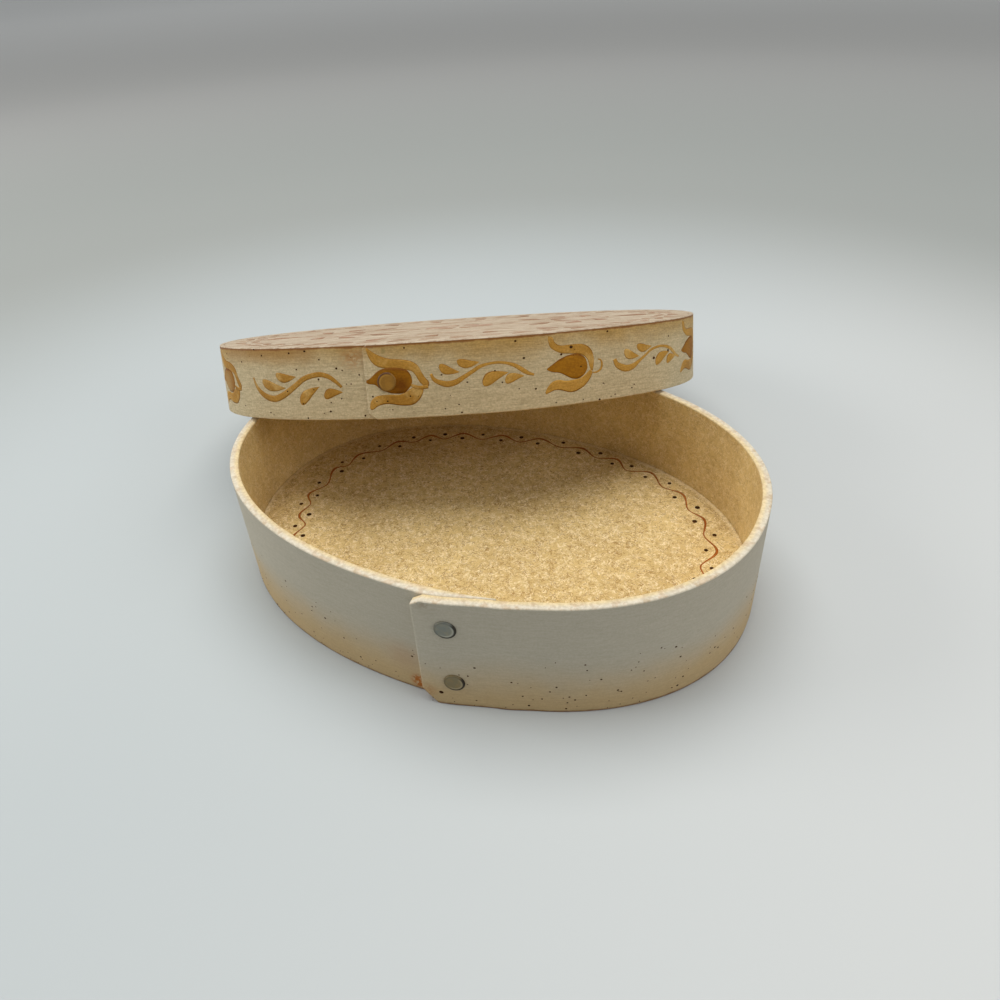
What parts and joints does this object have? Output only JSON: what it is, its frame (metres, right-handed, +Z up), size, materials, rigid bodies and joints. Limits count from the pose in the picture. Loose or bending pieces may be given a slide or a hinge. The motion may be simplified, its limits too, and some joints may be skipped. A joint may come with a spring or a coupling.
{
  "type": "oval bentwood band box with lid",
  "caption": "Oval bentwood box with a riveted lapped band, an oval bottom board and a separate painted band lid that leans back across its rim.",
  "frame": {"origin": "middle of the underside of the bottom board, on the surface the box stands on", "axes": "+X along the long axis of the box, the riveted lap on the -Y side, the lid leaning to the +Y side, +Z up"},
  "size_m": [0.2574, 0.2431, 0.0855],
  "materials": {
    "box_paint": "off-white paint, shaded ochre towards the foot, with brown specks; bare tan fibre inside",
    "inside_board": "varnished tan fibre board with a painted wavy border",
    "rivet_steel": "dull grey",
    "lid_paint": "cream paint, shaded ochre under the top edge",
    "lid_top_paint": "cream paint with red-brown brush strokes",
    "lid_rivet_paint": "ochre paint over the head",
    "ochre_paint": "translucent ochre brush strokes",
    "brown_paint": "dark red-brown paint"
  },
  "bodies": {
    "box": {"box_band": "box_paint", "box_bottom": "inside_board", "box_rivet_upper": "rivet_steel", "box_rivet_lower": "rivet_steel"},
    "lid": {"lid_band": "lid_paint", "lid_top": "lid_top_paint", "lid_rivet": "lid_rivet_paint"}
  },
  "joints": [
    {"name": "lid_lift", "type": "slide", "parent": "box", "child": "lid", "axis": [0, 0, 1], "range_m": [0, 0.1]}
  ]
}
